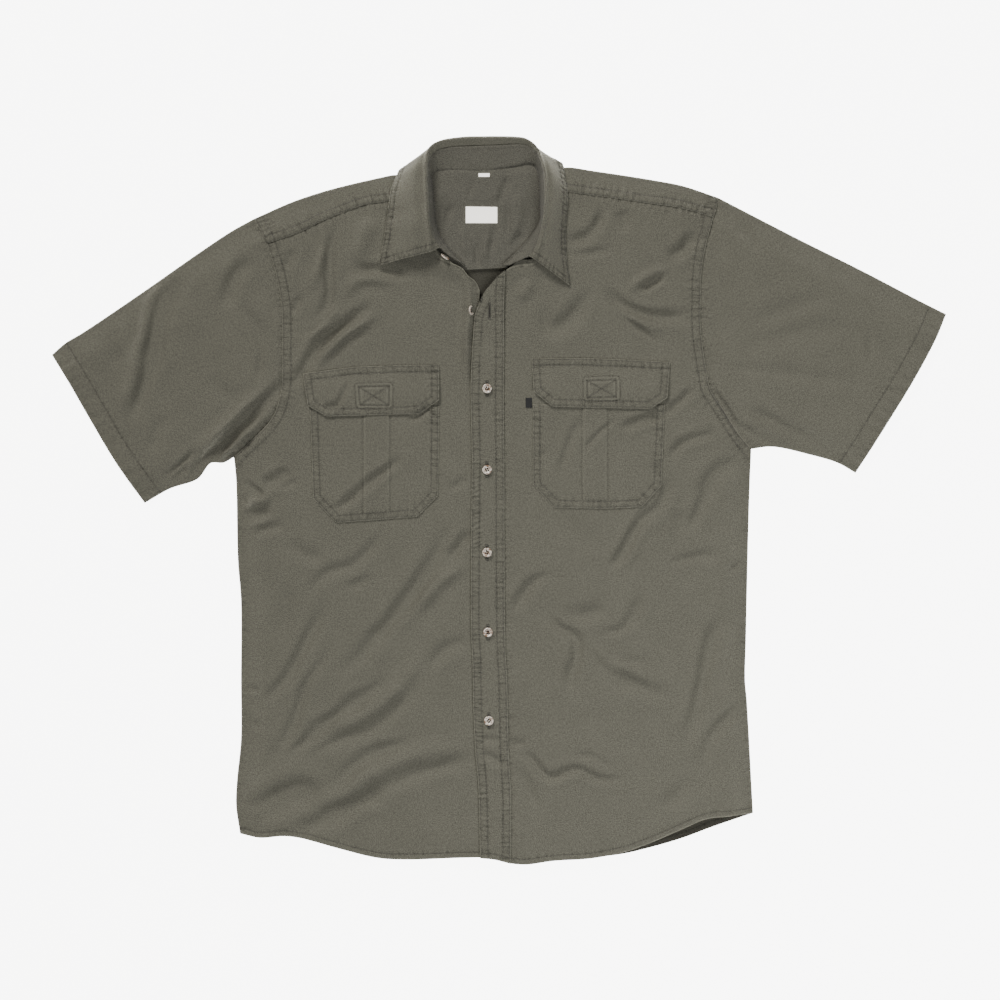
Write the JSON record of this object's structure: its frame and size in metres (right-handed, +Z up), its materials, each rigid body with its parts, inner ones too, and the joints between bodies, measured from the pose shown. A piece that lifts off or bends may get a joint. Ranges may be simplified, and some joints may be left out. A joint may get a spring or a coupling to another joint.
{
  "type": "safari shirt",
  "caption": "Short-sleeved olive twill safari shirt laid flat, buttoned below an open collar, with flapped box-pleat patch pockets, a front placket and a curved tail.",
  "frame": {"origin": "middle of the bounding box, on the surface that the shirt lies on", "axes": "+X to the wearer's left, +Y towards the collar, +Z up from the surface, out of the shirt's front"},
  "size_m": [1.01, 0.8217, 0.0263],
  "materials": {
    "cloth": "matt garment-washed cotton twill",
    "cloth_shade": "matt garment-washed cotton twill, inner face and back",
    "button": "pearl tan, four holes",
    "label": "plain off-white woven tape",
    "side_tab": "plain black woven tape"
  },
  "bodies": {
    "root": {"back_panel": "cloth_shade", "yoke": "cloth", "front_right": "cloth", "front_left": "cloth", "placket": "cloth", "sleeve_right": "cloth", "sleeve_left": "cloth", "collar_stand": "cloth_shade", "collar_leaf": "cloth", "pocket_right": "cloth", "pocket_left": "cloth", "flap_right": "cloth", "flap_left": "cloth", "neck_label": "label", "size_tab": "label", "side_tab": "side_tab", "button_1": "button", "button_2": "button", "button_3": "button", "button_4": "button", "button_5": "button", "button_6": "button", "button_7": "button"}
  },
  "joints": []
}
